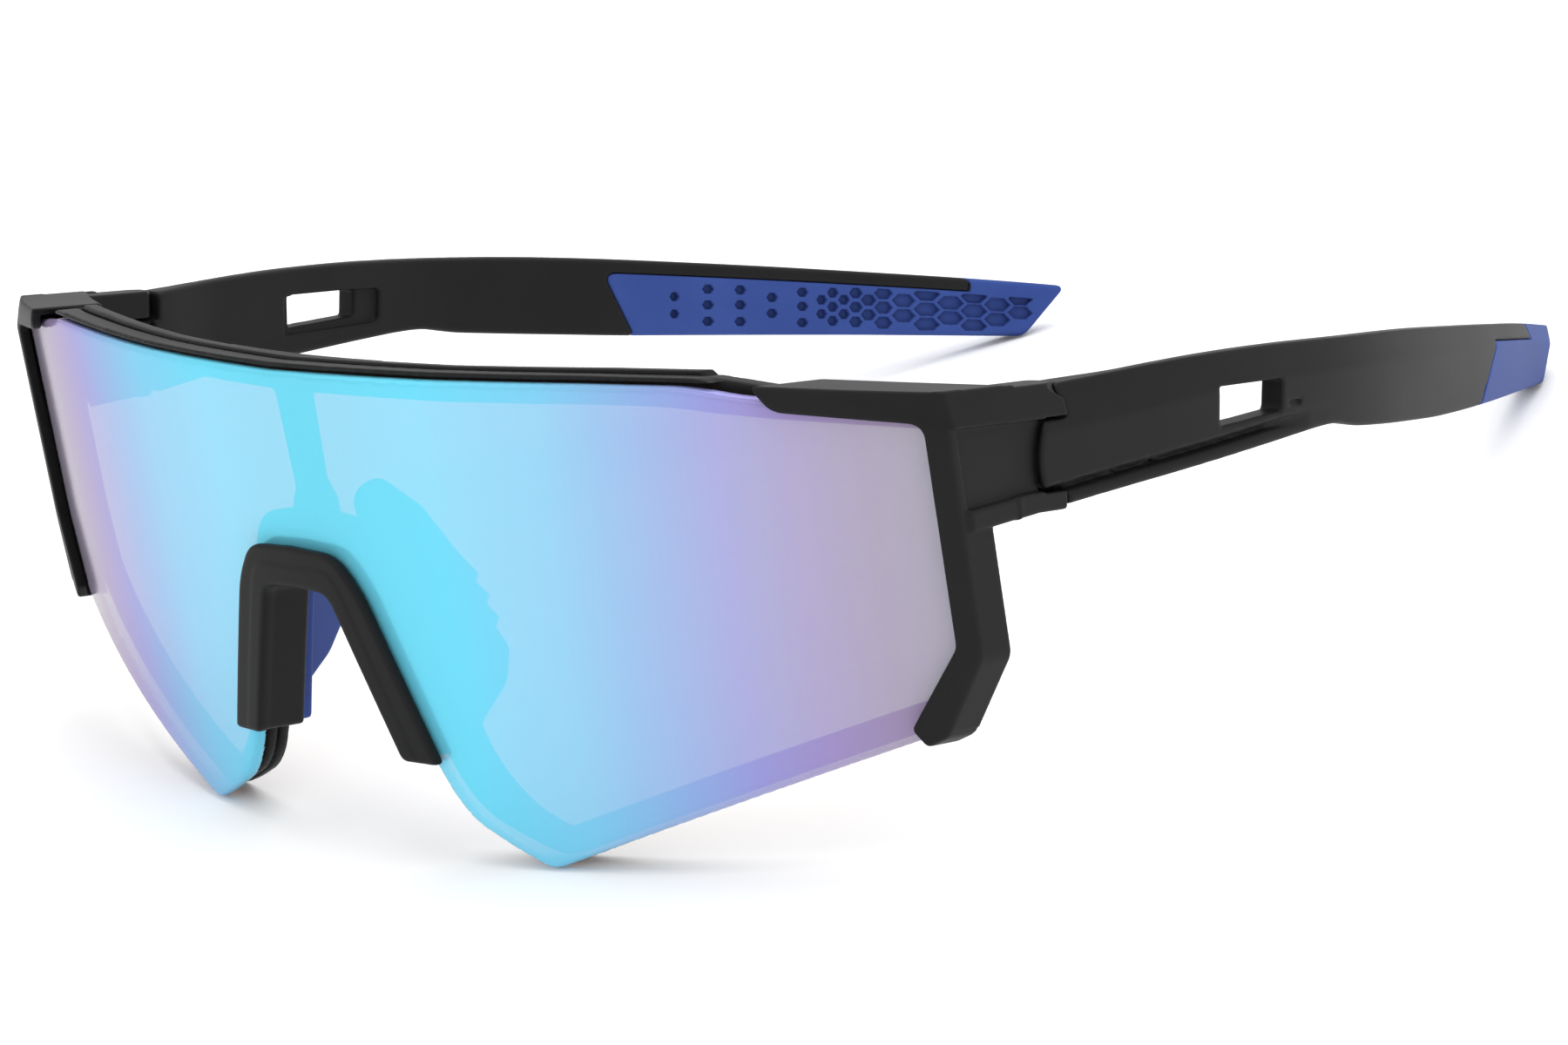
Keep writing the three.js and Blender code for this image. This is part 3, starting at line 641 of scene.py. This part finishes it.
def honeycomb(y, z, top, bottom):
    """Distance to the nearest recessed cell, kept clear of the strip's edges and the tip."""
    middle = (top - SPINE_DEPTH + bottom) / 2
    field = np.full(np.broadcast(y, z).shape, 50.0)
    for cy, length, height, offsets in CELLS:
        for dz in offsets:
            field = np.minimum(field, hexagon(y - cy, z - middle - dz, length, height))
    border = np.maximum(bottom + 0.75 - z, z - (top - SPINE_DEPTH) + 0.35)
    border = np.maximum(border, y - 156.4)
    return np.maximum(field, border)


def grip_field(x, y, z):
    depth, _, top, bottom = arm_section(x, y)
    shape = meet(arm_blank(x, y, z), grip_region(x, y, z, 0), 0.35)
    shape = cut(shape, tongue(x, y, z, SEAM), 0.05)
    floor = (ARM_THICK - CELL_DEPTH) * ARM_SLANT
    return cut(shape, meet(honeycomb(y, z, top, bottom), floor - depth, 0.05), 0.1)


# ------------------------------------------------------------------ screws
def screw_field(x, y, z):
    base = LUG_LOW_Z[0] + 0.1
    shaft = meet(pin(x, y, SCREW_R), between(z, base + 0.4, base + 11.4), 0.1)
    thread = 0.05 * np.sin((z - base) * 2 * math.pi / 0.35)
    head = meet(pin(x, y, 1.35), between(z, base, base + 0.7), 0.25)
    shape = join(shaft + np.maximum(thread, -0.03) + 0.03, head, 0.1)
    slot = meet(np.abs(y - HINGE[1]) - 0.18, z - base - 0.4, 0.05)
    return cut(shape, slot, 0.06)


def nut_field(x, y, z):
    z0 = LUG_TOP_Z[0] + 0.05
    body = hexagon(x - HINGE[0], y - HINGE[1], 3.0, 2.6)
    return cut(meet(body, between(z, z0, z0 + 1.5), 0.2), pin(x, y, SCREW_HOLE_R), 0.15)


# ------------------------------------------------------------------ materials
class Nodes:
    """Short way to wire a material's nodes."""

    def __init__(self, name):
        self.material = bpy.data.materials.new(name)
        self.material.use_nodes = True
        self.tree = self.material.node_tree
        self.shader = self.tree.nodes["Principled BSDF"]
        self.output = self.tree.nodes["Material Output"]
        self.coord = self.add("ShaderNodeTexCoord").outputs["Object"]

    def add(self, kind, inputs=None, **settings):
        node = self.tree.nodes.new(kind)
        for key, value in settings.items():
            setattr(node, key, value)
        for key, value in (inputs or {}).items():
            self.put(node.inputs[key], value)
        return node

    def put(self, socket, value):
        if isinstance(value, bpy.types.NodeSocket):
            self.tree.links.new(value, socket)
        else:
            socket.default_value = value

    def noise(self, scale, detail=3.0):
        return self.add("ShaderNodeTexNoise", {"Vector": self.coord, "Scale": scale,
                                               "Detail": detail}).outputs["Fac"]

    def ramp(self, value, stops):
        node = self.add("ShaderNodeValToRGB", {"Fac": value})
        elements = node.color_ramp.elements
        while len(elements) < len(stops):
            elements.new(0.5)
        for element, (place, colour) in zip(elements, stops):
            element.position = place
            element.color = (*colour, 1)
        return node.outputs["Color"]

    def spread(self, value, low, high):
        return self.add("ShaderNodeMapRange", {"Value": value, "To Min": low,
                                               "To Max": high}).outputs["Result"]

    def bump(self, height, strength, distance):
        return self.add("ShaderNodeBump", {"Height": height, "Strength": strength,
                                           "Distance": distance}).outputs["Normal"]

    def set(self, **values):
        for key, value in values.items():
            self.put(self.shader.inputs[key.replace("_", " ")], value)
        return self.material


def srgb(*channels):
    return tuple(c / 255 / 12.92 if c <= 10 else ((c / 255 + 0.055) / 1.055) ** 2.4
                 for c in channels)


def black_plastic():
    """Satin moulded nylon: fine spark-eroded grain, a little gloss variation."""
    n = Nodes("black_moulded_nylon")
    cloud = n.noise(60, 4)
    colour = n.ramp(cloud, [(0.3, (0.009, 0.009, 0.0092)), (0.7, (0.012, 0.012, 0.0122))])
    grain = n.noise(5200, 2)
    return n.set(Base_Color=colour, Roughness=n.spread(cloud, 0.42, 0.52),
                 Normal=n.bump(grain, 0.12, 0.00004), Specular_IOR_Level=0.11)


def blue_rubber():
    """Matt elastomer with a soft grain, its colour darkened by painted shade in the recessed cells
    and other hollows.
    """
    n = Nodes("blue_elastomer")
    cloud = n.noise(90, 4)
    colour = n.ramp(cloud, [(0.3, srgb(46, 67, 131)), (0.7, srgb(54, 76, 141))])
    # Painted shade: ambient occlusion darkens the colour where the surface is hemmed in, as in the
    # recessed cells.
    shade = n.add("ShaderNodeAmbientOcclusion", {"Color": colour, "Distance": 0.0022},
                  samples=8)
    depth = n.ramp(shade.outputs["AO"], [(0.25, (0.42, 0.42, 0.5)), (0.85, (1, 1, 1))])
    colour = n.add("ShaderNodeMix", {0: 1.0, 6: colour, 7: depth}, data_type="RGBA",
                   blend_type="MULTIPLY").outputs[2]
    grain = n.noise(4200, 3)
    return n.set(Base_Color=colour, Roughness=n.spread(cloud, 0.5, 0.62),
                 Normal=n.bump(grain, 0.2, 0.00005), Specular_IOR_Level=0.1,
                 Sheen_Weight=0.03, Sheen_Roughness=0.4)


def screw_steel():
    n = Nodes("screw_steel")
    turned = n.noise(2500, 2)
    colour = n.ramp(turned, [(0.3, srgb(120, 122, 126)), (0.7, srgb(168, 170, 174))])
    return n.set(Base_Color=colour, Metallic=1.0, Roughness=n.spread(turned, 0.25, 0.45),
                 Normal=n.bump(turned, 0.1, 0.00003))


def lens_place(n):
    """0 at the middle of the lens to 1 at its sides, with a slight waver."""
    axes = n.add("ShaderNodeSeparateXYZ", {"Vector": n.coord})
    side = n.add("ShaderNodeMath", {0: axes.outputs["X"], 1: LENS_COAT_CENTRE},
                 operation="SUBTRACT").outputs[0]
    side = n.add("ShaderNodeMath", {0: side}, operation="ABSOLUTE").outputs[0]
    wander = n.spread(n.noise(14, 2), -0.003, 0.003)
    side = n.add("ShaderNodeMath", {0: side, 1: wander}, operation="ADD").outputs[0]
    tall = n.add("ShaderNodeMath", {0: axes.outputs["Z"], 1: -0.05},
                 operation="MULTIPLY").outputs[0]
    side = n.add("ShaderNodeMath", {0: side, 1: tall}, operation="ADD").outputs[0]
    return n.add("ShaderNodeMapRange", {"Value": side, "From Min": 0.0,
                                        "From Max": 0.075}).outputs["Result"]


def one_sided(n, shader, inside):
    """Seen from inside the solid the face is only a tinted pane."""
    geometry = n.add("ShaderNodeNewGeometry")
    pane = n.add("ShaderNodeBsdfTransparent", {"Color": (*inside, 1)})
    mix = n.add("ShaderNodeMixShader", {0: geometry.outputs["Backfacing"], 1: shader,
                                        2: pane.outputs[0]})
    n.tree.links.new(mix.outputs[0], n.output.inputs["Surface"])


def mirror_lens():
    """Mirror coat that runs from cyan at the middle over blue and lavender to grey. The coat has
    its own colour, but this shift is painted by place on the lens and stands in for the coat's
    change of colour with the angle of view, a painted reflection.
    """
    n = Nodes("mirror_coated_lens")
    place = lens_place(n)
    # Partly painted reflection: the coat's colours are laid out by place on the lens, not by the
    # angle of view.
    colour = n.ramp(place, [(0.0, (0.165, 0.69, 0.88)), (0.19, (0.17, 0.72, 0.93)),
                            (0.37, (0.22, 0.62, 0.87)), (0.53, (0.29, 0.42, 0.76)),
                            (0.61, (0.33, 0.33, 0.69)), (0.70, (0.35, 0.28, 0.56)),
                            (0.80, (0.33, 0.26, 0.42)), (0.94, (0.30, 0.27, 0.34))])
    passed = n.ramp(place, [(0.0, (0.85, 0.05, 0.03)), (0.23, (0.80, 0.06, 0.03)),
                            (0.45, (0.50, 0.22, 0.12)), (0.65, (0.48, 0.60, 0.16)),
                            (0.93, (0.55, 0.68, 0.60))])
    coat = n.set(Base_Color=colour, Roughness=0.16, Metallic=0.2, IOR=1.12)
    through = n.add("ShaderNodeBsdfTransparent", {"Color": passed})
    mix = n.add("ShaderNodeMixShader", {0: 0.85, 1: through.outputs[0],
                                        2: n.shader.outputs[0]})
    one_sided(n, mix.outputs[0], (0.55, 0.42, 0.38))
    return coat


def smoke_lens():
    """Rear face of the lens: clear dark smoke with a gloss."""
    n = Nodes("smoke_lens_rear")
    cloud = n.noise(20, 2)
    colour = n.ramp(cloud, [(0.0, (0.035, 0.03, 0.03)), (1.0, (0.05, 0.043, 0.043))])
    smoke = n.set(Base_Color=colour, Roughness=0.08, IOR=1.5)
    through = n.add("ShaderNodeBsdfTransparent", {"Color": (0.8, 0.75, 0.72, 1)})
    mix = n.add("ShaderNodeMixShader", {0: 0.45, 1: through.outputs[0],
                                        2: n.shader.outputs[0]})
    one_sided(n, mix.outputs[0], (1.0, 1.0, 1.0))
    return smoke


def table_white():
    n = Nodes("white_table")
    cloud = n.noise(8, 3)
    colour = n.ramp(cloud, [(0.0, srgb(250, 250, 250)), (1.0, srgb(253, 253, 253))])
    return n.set(Base_Color=colour, Roughness=0.9, Specular_IOR_Level=0.1)


# ------------------------------------------------------------------ camera, floor, light
CAMERA = dict(place=(0.36869, -0.36819, 0.18177), azimuth=46.05, elevation=18.46,
              roll=-10.48, lens=105.49)


def make_camera():
    a, e, r = (math.radians(CAMERA[k]) for k in ("azimuth", "elevation", "roll"))
    right = Vector((math.cos(a), math.sin(a), 0))
    view = Vector((-math.sin(a) * math.cos(e), math.cos(a) * math.cos(e), -math.sin(e)))
    up = Vector((-math.sin(a) * math.sin(e), math.cos(a) * math.sin(e), math.cos(e)))
    x_axis = right * math.cos(r) + up * math.sin(r)
    y_axis = up * math.cos(r) - right * math.sin(r)
    data = bpy.data.cameras.new("camera")
    data.sensor_width = 36
    data.lens = CAMERA["lens"]
    data.clip_start = 0.01
    camera = bpy.data.objects.new("camera", data)
    camera.matrix_world = Matrix.Translation(CAMERA["place"]) @ Matrix(
        (x_axis, y_axis, -view)).transposed().to_4x4()
    bpy.context.scene.collection.objects.link(camera)
    bpy.context.scene.camera = camera


def make_floor(material):
    mesh = bpy.data.meshes.new("floor")
    far = 6.0
    mesh.from_pydata([(-far, -far, 0), (far, -far, 0), (far, far, 0), (-far, far, 0)], [],
                     [(0, 1, 2, 3)])
    mesh.materials.append(material)
    floor = bpy.data.objects.new("floor", mesh)
    bpy.context.scene.collection.objects.link(floor)
    floor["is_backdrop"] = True


def make_light(name, place, size, energy):
    data = bpy.data.lights.new(name, "AREA")
    data.shape = "RECTANGLE"
    data.size, data.size_y = size
    data.energy = energy
    light = bpy.data.objects.new(name, data)
    light.location = place
    light.rotation_euler = (-Vector(place)).to_track_quat("-Z", "Y").to_euler()
    bpy.context.scene.collection.objects.link(light)


def make_studio():
    world = bpy.data.worlds.new("studio")
    bpy.context.scene.world = world
    world.use_nodes = True
    world.node_tree.nodes["Background"].inputs["Color"].default_value = (1, 1, 1, 1)
    world.node_tree.nodes["Background"].inputs["Strength"].default_value = 0.9
    make_light("overhead", (0.1, 0.2, 1.1), (1.4, 1.0), 9.0)
    make_light("left_window", (-0.7, -0.9, 0.8), (0.8, 0.8), 1.0)
    make_light("front_fill", (0.5, -1.1, 0.7), (0.8, 0.6), 1.0)
    make_light("right_fill", (1.2, -0.2, 0.5), (0.6, 0.6), 0.8)
    bpy.context.scene.view_settings.view_transform = "Standard"


# ------------------------------------------------------------------ assembly
make_camera()
make_floor(table_white())
make_studio()
looks = {"black": black_plastic(), "blue": blue_rubber(), "steel": screw_steel(),
         "lens": mirror_lens()}

lens = single("lens_shield", lens_field, (-73, -15, -1), (73, 24, 54), 0.5, "lens", looks)
line_rear(lens, smoke_lens())
single("front_frame", rim_field, (-73, -17, 0), (73, 26, 54.5), 0.36, "black", looks)
single("brow_bar", brow_field, (-54, -13, 48), (54, 14, 55), 0.3, "black", looks)
single("nose_bridge", bridge_field, (-17, -14, 9.5), (17, 6, 34), 0.25, "black", looks)
pair("endpiece", endpiece_field, (56, -2, 16), (75.2, 28, 53.6), 0.19, "black", looks)
pair("nose_pad", pad_field, (2, -12, 8), (17.5, 17, 44), 0.25, "blue", looks)
pair("temple_arm", arm_field, (40, 21, 38.5), (76.2, 149, 54.6), 0.3, "black", looks,
     moving=True)
pair("temple_grip", grip_field, (37, 94, 38.5), (70.5, 161, 52), 0.2, "blue", looks, moving=True)
pair("hinge_screw", screw_field, (70.5, 23, 39.9), (73.5, 26.2, 51.8), 0.09, "steel", looks)
pair("hinge_nut", nut_field, (70.3, 23, 49.3), (73.7, 26.2, 51.3), 0.09, "steel", looks)

[[list(map(float, corner)) for corner in box]
           for box in (cad_box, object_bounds())]
